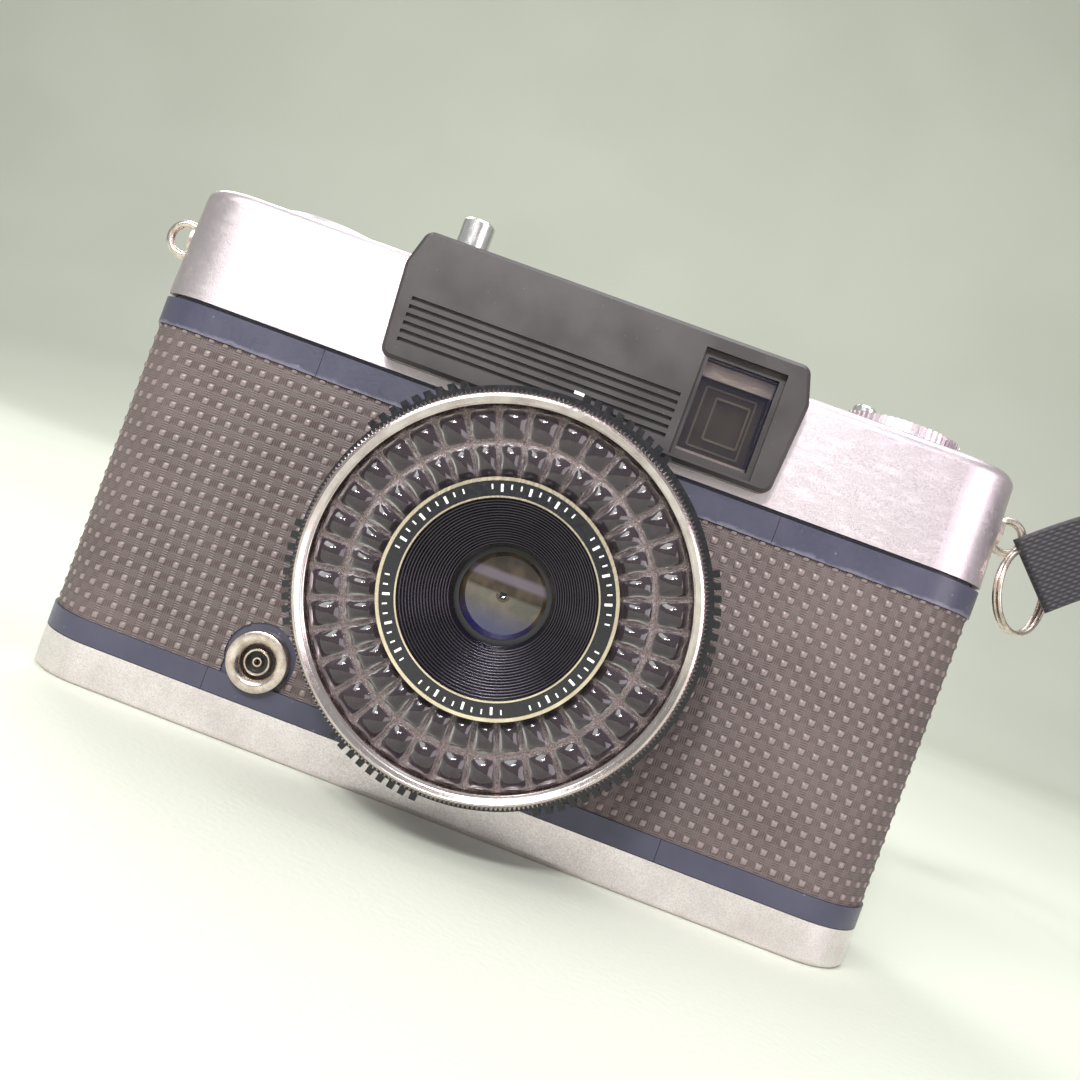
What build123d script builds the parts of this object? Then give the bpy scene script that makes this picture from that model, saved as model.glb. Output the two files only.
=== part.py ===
from build123d import *
import math
import os

# Half frame viewfinder camera with a selenium cell ring round the lens.
# Millimetres. X runs to the right as seen from the front, Y runs from the front to the back,
# Z runs up. The origin is the mouth of the tripod socket, in the middle of the base.

# ---- driving dimensions ----
width = 114.0
depth = 29.0
corner_radius = 9.0
front_y = -depth / 2
back_y = depth / 2

base_height = 5.3
base_wall = 1.0
base_floor = 1.2
casting_bottom = 5.4
lower_trim_top = 8.3
upper_trim_bottom = 47.4
casting_top = 51.0
cover_bottom = 51.5
top_plate = 66.5
cover_wall = 1.0
cover_draft = 2.0

covering_recess = 0.6
covering_thickness = 0.45
split_y = 5.0
split_gap = 0.12
back_wall = 1.4
seam_left = -32.4
seam_right = 28.5
panel_thickness = 1.0

lens_x = 0.0
lens_z = 30.2
barrel_radius = 22.4
barrel_bore = 20.6
running_gap = 0.05
focus_radius = 24.9
aperture_radius = 24.3
filter_ring_radius = 23.1
filter_thread_radius = 21.75
filter_thread_start = 17.0
cell_window_radius = 21.5
lens_front = 17.7
name_ring_outer = 13.4
name_ring_inner = 11.1
front_cell_radius = 7.35
front_lens_radius = 5.2

gate_width = 19.0
gate_height = 25.0
film_plane = 10.6
plate_travel = 0.6
chamber_wall = 1.6
chamber_left = 28.5
spool_wall_x = -22.1
cassette_x = 41.9
cassette_roof = 52.8
crank_x = cassette_x + 5.2
crank_z = 68.15
crank_reach = 10.6
crank_end_radius = 0.65

finder_x = 17.8
finder_z = 60.3
window_half_width = 4.6
window_half_height = 6.0
finder_half_width = 4.5
finder_low = 54.9
finder_high = 64.3
eyepiece_low = finder_z - 4.3
eyepiece_high = finder_z + 2.7
bezel_front = front_y - 2.5
bezel_middle = 0.3
bezel_top = 69.2
bezel_bottom = 52.6

button_x = -21.0
button_y = -6.5
button_radius = 2.2
release_radius = 0.8
dial_x = -40.0
dial_y = -1.0
dial_radius = 8.5
wheel_x = -44.3
wheel_y = 4.0
wheel_radius = 11.5
sprocket_x = -28.9
sprocket_y = 1.5
shaft_radius = 2.0
gear_module = 0.6
wheel_teeth = 28
sprocket_teeth = 24
mesh_angle = math.degrees(math.atan2(sprocket_y - wheel_y, sprocket_x - wheel_x))
gear_bottom = 57.4
gear_top = 59.6

flash_x = -26.5
flash_z = 11.2
flash_radius = 3.95

lug_y = -4.5
lug_z = 59.6
latch_x = -46.0
screw_y = 5.0
screw_z = 62.5
tripod_radius = 3.175

ring_centre = (62.6, -5.6, 53.4)
ring_mean = 5.5
ring_wire = 0.32
ring_normal = (0.6, -0.79, 0.12)
strap_diameter = 6.0
strap_route = [
    (62.5, -6.5, 55.5),
    (70.5, -7.0, 63.0),
    (81.0, -9.5, 67.5),
    (91.5, -14.0, 67.0),
    (99.5, -20.5, 61.0),
    (103.5, -27.5, 51.0),
    (104.5, -33.5, 40.0),
    (104.0, -38.0, 28.5),
    (102.5, -42.0, 17.5),
    (99.5, -48.0, 8.5),
    (94.5, -56.0, 4.0),
    (87.0, -64.5, 3.1),
    (77.5, -71.0, 3.1),
]


# ---- helpers ----
def block(x, y, z):
    """A box from its (low, high) limits along each axis."""
    low = (x[0], y[0], z[0])
    size = (x[1] - x[0], y[1] - y[0], z[1] - z[0])
    return Pos(*low) * Box(*size, align=(Align.MIN, Align.MIN, Align.MIN))


def rod(x, y, radius, low, high):
    """An upright cylinder between two heights."""
    return Pos(x, y, low) * Cylinder(radius, high - low, align=(Align.CENTER, Align.CENTER, Align.MIN))


def plan(inset, low, high):
    """The camera's rounded plan, inset from its outside, between two heights."""
    outline = RectangleRounded(width - 2 * inset, depth - 2 * inset, corner_radius - inset)
    return extrude(Pos(0, 0, low) * outline, high - low)


def on_lens(solid):
    """Turns a solid built along +Z into one that stands out of the front face on the lens axis."""
    return Pos(lens_x, front_y, lens_z) * Rot(90, 0, 0) * solid


def disc(radius, low, high):
    """A plain cylinder on the lens axis, from one height out of the front face to another."""
    return rod(0, 0, radius, low, high)


def ring(outer, inner, low, high):
    return disc(outer, low, high) - disc(inner, low - 1, high + 1)


def front_rod(x, z, radius, low, high):
    """A cylinder standing out of the front face, away from the lens axis."""
    return Pos(x, front_y, z) * Rot(90, 0, 0) * rod(0, 0, radius, low, high)


def ring_with_grips(outer, inner, low, high, count, grip_depth, grip_share, groups=1, filled=1.0):
    """A ring whose rim has grip teeth, in so many equal groups round it."""
    body = ring(outer - grip_depth, inner, low, high)
    pitch = 360.0 / count
    tooth_width = 2 * math.pi * outer / count * grip_share
    per_group = count // groups
    teeth = []
    for index in range(count):
        if index % per_group >= per_group * filled:
            continue
        tooth = Pos(outer - grip_depth, 0, (low + high) / 2) * Box(2 * grip_depth, tooth_width, high - low)
        teeth.append(Rot(0, 0, index * pitch) * tooth)
    return (body + teeth) & disc(outer, low, high)


def gear(teeth, low, high, turned=0.0):
    """A spur gear with plain tapered teeth."""
    pitch_radius = gear_module * teeth / 2
    root = pitch_radius - 0.75
    tip = pitch_radius + 0.5
    half_root = math.pi * gear_module * 0.27
    half_tip = math.pi * gear_module * 0.13
    tooth = Polygon(
        (root - 0.3, -half_root), (tip, -half_tip), (tip, half_tip), (root - 0.3, half_root), align=None
    )
    outline = Circle(root)
    for index in range(teeth):
        outline += Rot(0, 0, turned + index * 360.0 / teeth) * tooth
    return extrude(Pos(0, 0, low) * outline, high - low)


def one_solid(shape):
    """The largest solid of a shape, without crumbs left by cutting."""
    return max(shape.solids(), key=lambda solid: solid.volume)


# ---- base and back, which slide off together ----
def base_plate():
    shell = plan(0, 0, base_height)
    shell = fillet(shell.faces().sort_by(Axis.Z)[0].edges(), 0.8)
    shell -= plan(base_wall, base_floor, base_height + 1)
    shell -= rod(0, 0, 4.6, -1, 3)
    shell -= rod(latch_x, 0, 6.9, -1, 3)
    shell += rod(latch_x, 0, 8.6, base_floor, 2.3)
    shell -= rod(latch_x, 0, 1.5 + running_gap, 0, 4)
    return shell - rod(sprocket_x, sprocket_y, 2.5 + running_gap, -1, 3)


def tripod_bush():
    body = rod(0, 0, 4.6, 0, base_floor) + rod(0, 0, 6.0, base_floor, 2.2) + rod(0, 0, 4.6, 2.2, 5.0)
    return body - rod(0, 0, tripod_radius, -1, 5.5)


def back_shell():
    shell = plan(0, base_height, casting_top - 0.2) - plan(back_wall, 0, 60)
    shell += plan(base_wall, base_floor, base_height) - plan(base_wall + 0.9, 0, 60)
    shell &= block((-60, 60), (split_y + split_gap, 20), (0, 60))
    recess = plan(-1, lower_trim_top, upper_trim_bottom) - plan(covering_recess, 0, 60)
    return shell - recess


def covering_skin():
    outer = covering_recess - covering_thickness
    return plan(outer, lower_trim_top, upper_trim_bottom) - plan(covering_recess, 0, 60)


def back_covering():
    return covering_skin() & block((-60, 60), (split_y + split_gap, 20), (0, 60))


def pressure_plate():
    plate = block((-15, 15), (film_plane + 0.25, film_plane + 1.25), (12.0, 48.4))
    plate = fillet(plate.edges().filter_by(Axis.Y), 2.0)
    return plate


def pressure_spring():
    near = film_plane + 1.3 + plate_travel
    far = back_y - back_wall
    leaf = block((-2.5, 2.5), (far - 0.25, far), (18, 42))
    for height in (19.5, 39.5):
        leaf += block((-2.5, 2.5), (near, far), (height, height + 0.5))
    return leaf


def latch_key():
    key = rod(latch_x, 0, 6.5, 0.9, base_floor)
    key += block((latch_x - 6.1, latch_x + 6.1), (-0.9, 0.9), (0.1, 0.95))
    key += rod(latch_x, 0, 1.5, base_floor, 4.6)
    cam = block((latch_x - 6.0, latch_x + 2.4), (-1.8, 1.8), (3.2, 4.6))
    cam = fillet(cam.edges().filter_by(Axis.Z), 1.6)
    return (key + cam) & rod(latch_x, 0, 6.5, 0, 6)


def rewind_release():
    button = rod(sprocket_x, sprocket_y, 2.5, 0.3, 1.4)
    button += rod(sprocket_x, sprocket_y, 3.3, 1.4, 2.0)
    button += rod(sprocket_x, sprocket_y, 1.2, 2.0, 3.6)
    return button


# ---- main body ----
def body_casting():
    web = 1.9
    body = plan(0, casting_bottom, casting_top) & block((-60, 60), (-20, split_y), (0, 60))
    inner = plan(back_wall + 0.35, casting_bottom, casting_top)
    body += inner & block((-60, 60), (-20, back_y - back_wall - 0.4), (0, 60))
    # the cassette chamber rises into the top cover
    dome = plan(2.4, casting_top, cassette_roof + 1.4) & block((26.9, 56), (-20, 20), (50, 60))
    body += dome
    # a locating rim inside the top cover
    rim = plan(1.15, casting_top, 53.0) - plan(2.3, 50, 54)
    body += rim
    cavity = plan(chamber_wall, 0, 80)
    dome_cavity = plan(2.6, 0, 80)
    body -= dome_cavity & block((chamber_left, 60), (-20, 20), (casting_bottom - 1, cassette_roof))
    body -= cavity & block((chamber_left, 60), (-20, 20), (casting_bottom - 1, casting_top - 1.2))
    spool_cavity = plan(2.2, 0, 80)
    body -= spool_cavity & block((-60, spool_wall_x), (-20, 20), (casting_bottom + web, casting_top - web))
    # light tunnel, film gate and the plane that the pressure plate slides past
    gate = (lens_z - gate_height / 2, lens_z + gate_height / 2)
    body -= block((-gate_width / 2, gate_width / 2), (-20, 20), gate)
    body -= block((-17.5, 17.5), (film_plane - 0.3, 20), (0, 60))
    body -= on_lens(disc(17.6, -8.0, 1))
    # pockets that lighten the block on either side of the light tunnel
    for low, high in ((-20.4, -gate_width / 2 - 1.5), (gate_width / 2 + 1.5, 26.5)):
        body -= block((low, high), (-4.5, 8.0), (casting_bottom + web, 40.0))
    # recesses for the front panel and for the covering
    body -= block((seam_left, seam_right), (-20, front_y + panel_thickness), (0, 60))
    body -= plan(-1, lower_trim_top, upper_trim_bottom) - plan(covering_recess, 0, 60)
    # bearings and clearances
    for x, y in ((wheel_x, wheel_y), (sprocket_x, sprocket_y)):
        body -= rod(x, y, shaft_radius + running_gap, 0, 60)
    body -= rod(cassette_x, 0, shaft_radius + running_gap, 50, 60)
    body -= rod(button_x, button_y, release_radius + running_gap, 38, 60)
    body -= rod(wheel_x, wheel_y, wheel_radius + 0.6, casting_top, 60)
    body -= front_rod(flash_x, flash_z, flash_radius, -2.0, 2)
    return one_solid(body)


def front_panel():
    sides = (seam_left + 0.06, seam_right - 0.06)
    panel = block(sides, (front_y, front_y + panel_thickness), (casting_bottom, casting_top))
    panel -= plan(-1, lower_trim_top, upper_trim_bottom) - plan(covering_recess, 0, 60)
    panel -= on_lens(disc(17.6, -2, 2))
    return panel - front_rod(flash_x, flash_z, flash_radius, -2, 2)


def front_covering(side):
    skin = covering_skin() & block((-60, 60), (-20, split_y), (0, 60))
    limits = (-60, 0) if side < 0 else (0, 60)
    skin &= block(limits, (-20, 20), (0, 60))
    skin -= on_lens(disc(23.6, -3, 3))
    if side < 0:
        skin -= block((flash_x - 4.4, flash_x + 3.7), (-20, 0), (0, flash_z + 0.6))
        skin -= front_rod(flash_x - 0.1, flash_z + 0.3, 4.6, -3, 3)
    return skin


def bezel_outline(grow=0.0):
    """The nameplate's six-sided outline, seen from the front."""
    top = bezel_top + grow
    bottom = bezel_bottom - grow
    corners = [
        (bezel_middle - 25.5 - grow, bottom),
        (bezel_middle + 25.5 + grow, bottom),
        (bezel_middle + 26.4 + grow, 64.6),
        (bezel_middle + 25.0 + grow, top),
        (bezel_middle - 25.0 - grow, top),
        (bezel_middle - 26.4 - grow, 64.6),
    ]
    outline = make_face(Polyline(*corners, close=True))
    return fillet(outline.vertices(), 1.4)


def bezel_body():
    front = Pos(0, bezel_front, 0) * Rot(90, 0, 0) * bezel_outline()
    wall = extrude(front, -3.6)
    lip = extrude(front, -5.6) & block((-60, 60), (-20, 0), (top_plate, 80))
    body = wall + lip
    return body


def nameplate_bezel():
    body = bezel_body()
    body = chamfer(body.faces().sort_by(Axis.Y)[0].edges(), 0.5)
    window = (finder_x - 5.25, finder_x + 5.25)
    body -= block(window, (-20, bezel_front + 1.0), (finder_z - 6.9, finder_z + 6.9))
    body -= window_opening(-20, -10)
    for index in range(6):
        height = 55.2 + 1.06 * index
        body -= block((-23.7, 11.5), (-20, bezel_front + 0.5), (height - 0.24, height + 0.24))
    return body


def window_opening(near, far):
    sides = (finder_x - window_half_width, finder_x + window_half_width)
    return block(sides, (near, far), (finder_z - window_half_height, finder_z + window_half_height))


def finder_window():
    return window_opening(bezel_front + 1.2, bezel_front + 2.2)


def finder_tube():
    tube = block((finder_x - 5.4, finder_x + 5.4), (front_y + 1.6, back_y - 1.7), (54.0, 65.2))
    sides = (finder_x - finder_half_width, finder_x + finder_half_width)
    return tube - block(sides, (-20, 20), (finder_low, finder_high))


def eyepiece_outline(far):
    return block((finder_x - 5.8, finder_x + 5.8), (back_y - 0.1, far), (finder_z - 5.6, finder_z + 4.0))


def eyepiece_opening(near, far):
    return block((finder_x - 3.9, finder_x + 3.9), (near, far), (finder_z - 3.6, finder_z + 2.0))


def eyepiece_frame():
    frame = eyepiece_outline(back_y + 1.3)
    frame = fillet(frame.edges().filter_by(Axis.Y), 1.5)
    sides = (finder_x - finder_half_width, finder_x + finder_half_width)
    frame += block(sides, (back_y - 1.7, back_y), (eyepiece_low, eyepiece_high))
    return frame - eyepiece_opening(0, 20)


def eyepiece_lens():
    return eyepiece_opening(back_y - 0.6, back_y + 0.6)


def top_cover():
    height = top_plate - cover_bottom
    outside = RectangleRounded(width, depth, corner_radius)
    outer = extrude(Pos(0, 0, cover_bottom) * outside, height, taper=cover_draft)
    outer = fillet(outer.faces().sort_by(Axis.Z)[-1].edges(), 1.6)
    inside = RectangleRounded(width - 2 * cover_wall, depth - 2 * cover_wall, corner_radius - cover_wall)
    cover = outer - extrude(Pos(0, 0, cover_bottom) * inside, height - cover_wall, taper=cover_draft)
    cover -= bezel_body()
    window_sides = (finder_x - window_half_width, finder_x + window_half_width)
    cover -= block(window_sides, (-20, 0), (finder_low, finder_high))
    finder_sides = (finder_x - finder_half_width, finder_x + finder_half_width)
    cover -= block(finder_sides, (0, 20), (eyepiece_low, eyepiece_high))
    cover -= eyepiece_outline(20)
    cover -= rod(wheel_x, wheel_y, wheel_radius + 0.6, cover_bottom - 1, 56.9)
    cover -= rod(button_x, button_y, button_radius + running_gap, 60, 70)
    cover -= rod(dial_x, dial_y, 1.5 + running_gap, 60, 70)
    cover -= rod(cassette_x, 0, shaft_radius + running_gap, 60, 70)
    for side in (-1, 1):
        cover -= Pos(side * width / 2, screw_y, screw_z) * Rot(0, 90, 0) * Cylinder(0.8, 6)
    return one_solid(cover)


def end_screws():
    screws = []
    for side in (-1, 1):
        head = Pos(side * 56.95, screw_y, screw_z) * Rot(0, 90, 0) * Cylinder(1.5, 0.7)
        shank = Pos(side * 56.2, screw_y, screw_z) * Rot(0, 90, 0) * Cylinder(0.8, 1.6)
        slot = Pos(side * 57.2, screw_y, screw_z) * Box(0.5, 4, 0.4)
        screws.append(head + shank - slot)
    return Compound(children=[one_solid(screw) for screw in screws])


def strap_lug(side):
    wall_x = 56.7
    loop = Pos(side * 58.7, lug_y, lug_z) * Rot(90, 0, 0) * Torus(2.15, 0.55)
    foot = Pos(side * (wall_x + 0.3), lug_y, lug_z) * Rot(0, 90, 0) * Cylinder(2.6, 0.6)
    outside = (wall_x, 70) if side > 0 else (-70, -wall_x)
    keep = block(outside, (-20, 20), (50, 70))
    return (loop + foot) & keep


def strap_lugs():
    return Compound(children=[one_solid(strap_lug(-1)), one_solid(strap_lug(1))])


# ---- lens and shutter ----
def lens_barrel():
    # the flange is cut flat where it passes under the nameplate
    body = ring(24.0, 16.4, 0, 1.4) - block((-20, 20), (bezel_bottom - lens_z - 0.1, 30), (-1, 2))
    body += ring(barrel_radius, barrel_bore, 1.4, 13.2)
    body += ring(17.5, 16.4, -7.0, 0.5)
    body += ring(21.0, front_cell_radius + running_gap, 3.0, 4.4)
    # the ledge that carries the selenium cell
    body += ring(21.0, 12.6, 12.4, 13.2)
    return on_lens(body)


def aperture_ring():
    return on_lens(ring_with_grips(aperture_radius, barrel_radius + running_gap, 2.9, 6.2, 120, 0.4, 0.5))


def focus_ring():
    inner = barrel_radius + running_gap
    return on_lens(ring_with_grips(focus_radius, inner, 6.5, 12.8, 108, 0.8, 0.55, groups=6, filled=0.5))


def filter_ring():
    body = ring(filter_ring_radius, 21.0, 13.2, lens_front)
    body -= disc(cell_window_radius, 14.5, filter_thread_start)
    body -= disc(filter_thread_radius, filter_thread_start, lens_front + 1)
    return on_lens(body)


def selenium_cell():
    return on_lens(ring(20.2, 13.7, 13.2, 13.8))


def cell_window():
    return on_lens(ring(cell_window_radius, name_ring_outer, 14.5, 16.1))


def name_ring():
    face = ring(name_ring_outer, name_ring_inner, 16.1, 16.9)
    return on_lens(face + ring(name_ring_outer, 12.8, 13.2, 16.2))


def cone_baffle():
    """A funnel whose inner face is cut in fine rings."""
    rings = 14
    outer_radius = name_ring_inner
    inner_radius = 5.8
    top = 16.5
    bottom = 9.0
    points = [(outer_radius, top)]
    for index in range(rings):
        share = (index + 1) / rings
        radius = outer_radius - 0.35 - (outer_radius - 0.35 - inner_radius) * share
        height = top - 0.35 - (top - 0.35 - bottom) * share
        points.append((points[-1][0] - 0.12 if index == 0 else points[-1][0], height + 0.12))
        points.append((radius, height))
    points.append((inner_radius, bottom - 0.4))
    points.append((inner_radius + 0.5, bottom - 0.4))
    points.append((outer_radius, top - 1.0))
    profile = make_face(Polyline(*[(x, 0, z) for x, z in points], close=True))
    return on_lens(revolve(profile, Axis.Z))


def lens_element(radius, low, high, bulge_front, bulge_back):
    """A glass disc with a spherical bulge on each side."""
    body = disc(radius, low, high)
    sphere_front = (radius**2 + bulge_front**2) / (2 * bulge_front)
    sphere_back = (radius**2 + bulge_back**2) / (2 * bulge_back)
    body &= Pos(0, 0, high - sphere_front) * Sphere(sphere_front)
    return body & Pos(0, 0, low + sphere_back) * Sphere(sphere_back)


def front_cell():
    body = ring(front_cell_radius, 4.6, 3.0, 8.0)
    body -= disc(front_lens_radius, 5.2, 9)
    return on_lens(body)


def front_lens():
    return on_lens(lens_element(front_lens_radius, 5.2, 7.6, 0.7, 0.3))


def middle_lens():
    return on_lens(lens_element(4.6, 3.4, 4.9, 0.2, 0.2))


def shutter_plate():
    plate = ring(16.4, 6.0, 0.2, 0.9)
    for side in (-1, 1):
        plate += rod(side * 10.5, side * 2.0, 0.6, 0.9, 2.9)
    return on_lens(plate)


def shutter_blade(side):
    low = 2.0 if side > 0 else 2.35
    blade = disc(5.5, low, low + 0.2) & block((-1.2, 20), (-20, 20), (0, 10))
    blade += block((3.0, 10.5), (0.6, 3.4), (low, low + 0.2))
    blade += rod(10.5, 2.0, 1.4, low, low + 0.2)
    blade -= rod(10.5, 2.0, 0.6 + running_gap, 0, 10)
    return on_lens(Rot(0, 0, 0 if side > 0 else 180) * blade)


def aperture_blade(side):
    low = 1.1 if side > 0 else 1.45
    square_end = [(10.0, -5.4), (10.0, 5.4), (-1.6, 5.4)]
    notched_end = [(-1.6, 1.1), (-0.5, 0), (-1.6, -1.1), (-1.6, -5.4)]
    outline = Polygon(*square_end, *notched_end, align=None)
    blade = extrude(Pos(0, 0, low) * outline, 0.2)
    return on_lens(Rot(0, 0, 90 * side) * blade)


def rear_cell():
    body = ring(16.4, 5.0, -6.0, -5.2) + ring(7.0, 5.0, -5.2, -0.8)
    return on_lens(body - disc(5.6, -4.2, 0))


def rear_lens():
    return on_lens(lens_element(5.6, -4.2, -1.4, 0.5, 0.6))


# ---- flash synchronising terminal ----
def flash_shell():
    body = front_rod(flash_x, flash_z, flash_radius, -1.9, 1.2)
    body = chamfer(body.faces().sort_by(Axis.Y)[0].edges(), 0.35)
    return body - front_rod(flash_x, flash_z, 2.2, -1.3, 3)


def flash_insulator():
    return front_rod(flash_x, flash_z, 2.2, -1.3, -0.3)


def flash_contacts():
    sleeve = front_rod(flash_x, flash_z, 1.7, -0.3, 0.9) - front_rod(flash_x, flash_z, 1.4, -1, 2)
    pin = front_rod(flash_x, flash_z, 0.65, -0.3, 0.7) - front_rod(flash_x, flash_z, 0.35, -1, 2)
    return Compound(children=[one_solid(sleeve), one_solid(pin)])


# ---- release ----
def shutter_button():
    body = rod(button_x, button_y, button_radius, 63.0, 74.8)
    body = chamfer(body.faces().sort_by(Axis.Z)[-1].edges(), 0.35)
    body -= rod(button_x, button_y, 1.3, 70.0, 76)
    return body + rod(button_x, button_y, release_radius, 41.0, 63.0)


def release_spring():
    return rod(button_x, button_y, 1.9, 51.1, 62.9) - rod(button_x, button_y, 1.3, 50, 64)


def button_collar():
    body = rod(button_x, button_y, 4.3, top_plate, 68.1)
    body = chamfer(body.faces().sort_by(Axis.Z)[-1].edges(), 0.4)
    return body - rod(button_x, button_y, button_radius + running_gap, 60, 70)


# ---- film transport ----
def advance_wheel():
    upright = ring_with_grips(wheel_radius, shaft_radius, 52.1, 56.3, 72, 0.5, 0.5)
    return Pos(wheel_x, wheel_y, 0) * upright


def take_up_spool():
    body = rod(wheel_x, wheel_y, 6.0, 9.0, 48.4)
    for low, high in ((9.0, 10.0), (47.4, 48.4)):
        body += rod(wheel_x, wheel_y, 7.0, low, high)
    body -= rod(wheel_x, wheel_y, shaft_radius, 0, 60)
    return body - block((wheel_x - 0.6, wheel_x + 0.6), (wheel_y + 3, 20), (22, 36))


def advance_gear():
    wheel = Pos(wheel_x, wheel_y, 0) * gear(wheel_teeth, gear_bottom, gear_top, mesh_angle)
    return wheel + rod(wheel_x, wheel_y, shaft_radius, 5.6, 60.0)


def film_sprocket():
    body = rod(sprocket_x, sprocket_y, 4.6, 8.5, 48.5)
    for height in (15.0, 43.4):
        body += rod(sprocket_x, sprocket_y, 6.0, height, height + 2.0)
        for index in range(8):
            tooth = Pos(5.8, 0, height + 1.0) * Box(1.4, 1.0, 1.2)
            body += Pos(sprocket_x, sprocket_y, 0) * Rot(0, 0, 45.0 * index) * tooth
    return body + rod(sprocket_x, sprocket_y, shaft_radius, 5.6, gear_bottom)


def sprocket_gear():
    turned = mesh_angle + 180 + 180.0 / sprocket_teeth
    return Pos(sprocket_x, sprocket_y, 0) * gear(sprocket_teeth, gear_bottom, gear_top, turned)


# ---- frame counter ----
def counter_dial():
    body = rod(dial_x, dial_y, dial_radius, top_plate + 0.25, 67.8)
    body = chamfer(body.faces().sort_by(Axis.Z)[-1].edges(), 0.5)
    body += rod(dial_x, dial_y, 2.4, 67.8, 68.3)
    body -= block((dial_x - 3, dial_x + 3), (dial_y - 0.25, dial_y + 0.25), (68.0, 69))
    return body + rod(dial_x, dial_y, 1.5, 62.3, 67.8)


def counter_bracket():
    plate = block((dial_x - 5, dial_x + 5), (dial_y - 5, dial_y + 5), (60.6, 61.6))
    plate += block((dial_x - 5, dial_x + 5), (dial_y - 5, dial_y - 4), (61.6, top_plate - cover_wall))
    return plate


# ---- rewind ----
def rewind_knob():
    body = ring_with_grips(8.2, shaft_radius, top_plate + 0.3, 68.9, 60, 0.3, 0.5)
    body -= block((-9, 9), (-1.8, 1.8), (67.4, 70))
    body = Pos(cassette_x, 0, 0) * body
    return body + crank_pin()


def crank_pin():
    return Pos(crank_x, 0, crank_z) * Rot(90, 0, 0) * Cylinder(0.4, 4.2)


def rewind_shaft():
    shaft = rod(cassette_x, 0, shaft_radius, 52.6, 67.4)
    shaft += rod(cassette_x, 0, 3.2, 51.4, 52.6)
    return shaft + block((cassette_x - 2.9, cassette_x + 2.9), (-0.7, 0.7), (49.6, 52.4))


def rewind_crank():
    arm = block((crank_x - 12.0, crank_x), (-1.4, 1.4), (crank_z - crank_end_radius, 68.9))
    arm = fillet(arm.edges().filter_by(Axis.Z).group_by(Axis.X)[0], 1.1)
    across = Pos(crank_x, 0, crank_z) * Rot(90, 0, 0)
    arm += across * Cylinder(crank_end_radius, 2.8)
    arm += rod(crank_x - crank_reach, 0, 0.6, 68.9, 70.3)
    return arm - across * Cylinder(0.4 + running_gap, 8)


def crank_handle():
    x = crank_x - crank_reach
    body = rod(x, 0, 1.6, 69.0, 70.5)
    body = chamfer(body.faces().sort_by(Axis.Z)[-1].edges(), 0.3)
    return body - rod(x, 0, 0.6 + running_gap, 60, 72)


# ---- exposure meter ----
def meter_movement():
    body = rod(0, 0, 6.0, casting_top, 60.0) - block((-8, 8), (-1.5, 1.5), (54, 58.5))
    return body


def meter_needle():
    needle = rod(0, 0, 0.8, 60.3, 61.4)
    return needle + block((-9.5, 0), (-0.25, 0.25), (60.7, 61.0))


# ---- strap ----
def split_ring():
    place = Plane(origin=ring_centre, z_dir=ring_normal)
    coils = [place * Pos(0, 0, side * ring_wire) * Torus(ring_mean, ring_wire) for side in (-1, 1)]
    return coils[0] + coils[1]


def corner_radii(route):
    """The largest arc that each corner of a route takes."""
    points = [Vector(*point) for point in route]
    radii = []
    for before, here, after in zip(points, points[1:], points[2:]):
        turn = (here - before).get_angle(after - here)
        shorter = min((here - before).length, (after - here).length)
        radii.append(0.45 * shorter / math.tan(math.radians(turn) / 2))
    return radii


def strap():
    radii = corner_radii(strap_route)
    path = FilletPolyline(*strap_route, radius=radii)
    start = Plane(origin=path @ 0, z_dir=path % 0)
    tube = sweep(start * Circle(strap_diameter / 2), path=path)
    expected = math.pi * strap_diameter**2 / 4 * path.length
    print("strap length", round(path.length, 1), "smallest radius", round(min(radii), 1))
    print("strap volume against its section times its length", round(tube.volume / expected, 4))
    return tube


makers = {
    "base_plate": base_plate,
    "tripod_bush": tripod_bush,
    "back_shell": back_shell,
    "back_covering": back_covering,
    "pressure_plate": pressure_plate,
    "pressure_spring": pressure_spring,
    "latch_key": latch_key,
    "rewind_release": rewind_release,
    "body_casting": body_casting,
    "front_panel": front_panel,
    "covering_left": lambda: front_covering(-1),
    "covering_right": lambda: front_covering(1),
    "nameplate_bezel": nameplate_bezel,
    "finder_window": finder_window,
    "finder_tube": finder_tube,
    "eyepiece_frame": eyepiece_frame,
    "eyepiece_lens": eyepiece_lens,
    "top_cover": top_cover,
    "end_screws": end_screws,
    "strap_lugs": strap_lugs,
    "lens_barrel": lens_barrel,
    "aperture_ring": aperture_ring,
    "focus_ring": focus_ring,
    "filter_ring": filter_ring,
    "selenium_cell": selenium_cell,
    "cell_window": cell_window,
    "name_ring": name_ring,
    "cone_baffle": cone_baffle,
    "front_cell": front_cell,
    "front_lens": front_lens,
    "middle_lens": middle_lens,
    "shutter_plate": shutter_plate,
    "shutter_blade_right": lambda: shutter_blade(1),
    "shutter_blade_left": lambda: shutter_blade(-1),
    "aperture_blade_upper": lambda: aperture_blade(1),
    "aperture_blade_lower": lambda: aperture_blade(-1),
    "rear_cell": rear_cell,
    "rear_lens": rear_lens,
    "flash_shell": flash_shell,
    "flash_insulator": flash_insulator,
    "flash_contacts": flash_contacts,
    "shutter_button": shutter_button,
    "release_spring": release_spring,
    "button_collar": button_collar,
    "advance_wheel": advance_wheel,
    "take_up_spool": take_up_spool,
    "advance_gear": advance_gear,
    "film_sprocket": film_sprocket,
    "sprocket_gear": sprocket_gear,
    "counter_dial": counter_dial,
    "counter_bracket": counter_bracket,
    "rewind_knob": rewind_knob,
    "rewind_shaft": rewind_shaft,
    "rewind_crank": rewind_crank,
    "crank_handle": crank_handle,
    "meter_movement": meter_movement,
    "meter_needle": meter_needle,
    "split_ring": split_ring,
    "strap": strap,
}

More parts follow.
